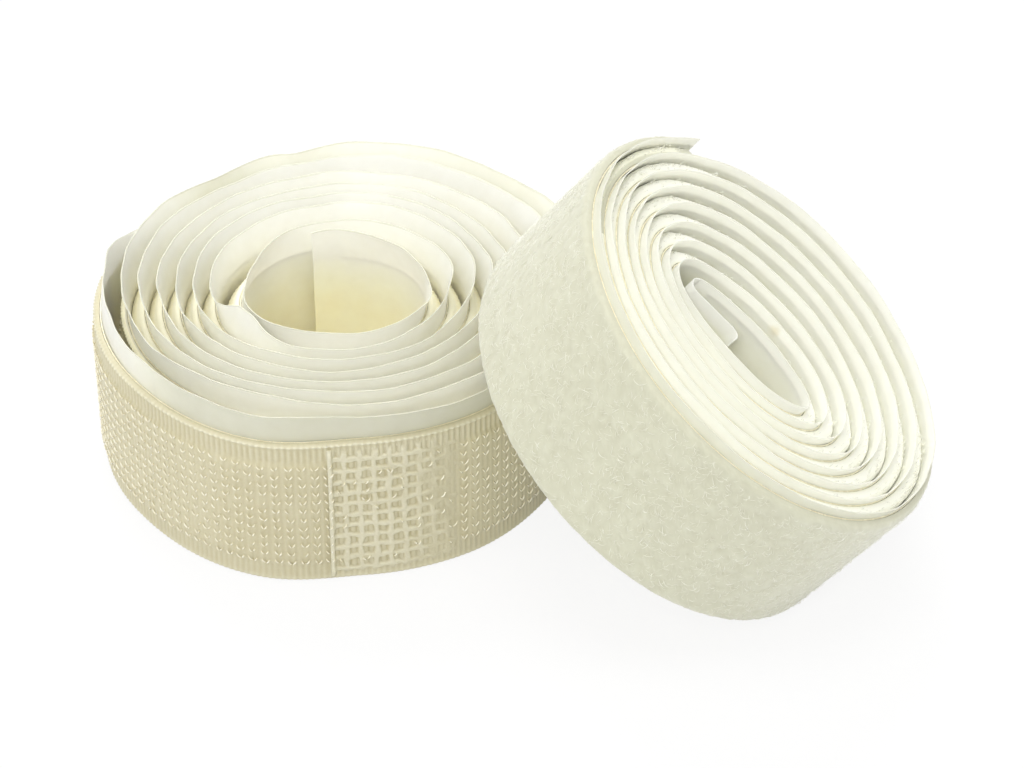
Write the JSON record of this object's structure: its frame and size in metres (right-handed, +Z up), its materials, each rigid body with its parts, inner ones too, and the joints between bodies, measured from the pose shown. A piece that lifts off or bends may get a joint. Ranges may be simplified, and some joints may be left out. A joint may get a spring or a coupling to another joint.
{
  "type": "hook and loop tape roll",
  "caption": "Pair of coreless self-adhesive hook and loop tape rolls, the hook roll lying flat and the loop roll leaning on its rim, each with tape, adhesive and a peel-off liner.",
  "frame": {"origin": "on the floor, under the middle of the pair of rolls", "axes": "+X from the hook roll towards the loop roll, +Y to the back, +Z up along the hook roll's axis"},
  "size_m": [0.1012, 0.079, 0.0477],
  "materials": {
    "hook_tape": "satin",
    "loop_tape": "matte",
    "adhesive": "gloss",
    "liner": "satin"
  },
  "bodies": {
    "hook_roll": {"hook_tape": "hook_tape", "hook_tape_lead": "hook_tape", "hook_adhesive": "adhesive", "hook_adhesive_lead": "adhesive", "hook_liner": "liner"},
    "hook_end": {"hook_tape_end": "hook_tape", "hook_adhesive_end": "adhesive"},
    "hook_liner_end": {"hook_liner_end": "liner"},
    "loop_roll": {"loop_tape": "loop_tape", "loop_adhesive": "adhesive", "loop_liner": "liner"},
    "loop_end": {"loop_tape_end": "loop_tape", "loop_adhesive_end": "adhesive"},
    "loop_liner_end": {"loop_liner_end": "liner"},
    "loop_liner_tail": {"loop_liner_tail": "liner"}
  },
  "joints": [
    {"name": "loop_roll_lift", "type": "slide", "parent": "hook_roll", "child": "loop_roll", "axis": [0, 0, 1], "range_m": [0, 0.04]},
    {"name": "hook_end_lift", "type": "hinge", "parent": "hook_roll", "child": "hook_end", "pos_m": [-0.04186, -0.01183, 0.01], "axis": [0, 0, 1], "range_deg": [0, 70], "stiffness_Nm_per_rad": 0.002},
    {"name": "hook_liner_peel", "type": "hinge", "parent": "hook_roll", "child": "hook_liner_end", "pos_m": [-0.04186, -0.01183, 0.01], "axis": [0, 0, 1], "range_deg": [0, 35]},
    {"name": "loop_end_lift", "type": "hinge", "parent": "loop_roll", "child": "loop_end", "pos_m": [0.00328, -0.01073, 0.03961], "axis": [0.6035, -0.1217, 0.788], "range_deg": [0, 70], "stiffness_Nm_per_rad": 0.002},
    {"name": "loop_liner_peel", "type": "hinge", "parent": "loop_roll", "child": "loop_liner_end", "pos_m": [0.00328, -0.01073, 0.03961], "axis": [0.6035, -0.1217, 0.788], "range_deg": [0, 35]},
    {"name": "loop_tail_flex", "type": "hinge", "parent": "loop_roll", "child": "loop_liner_tail", "pos_m": [0.00928, -0.0114, 0.02222], "axis": [0.6035, -0.1217, 0.788], "range_deg": [-8, 20], "stiffness_Nm_per_rad": 0.0005}
  ],
  "couplings": [
    {"joint": "hook_liner_peel", "follows": "hook_end_lift", "ratio": 0.5},
    {"joint": "loop_liner_peel", "follows": "loop_end_lift", "ratio": 0.5}
  ]
}
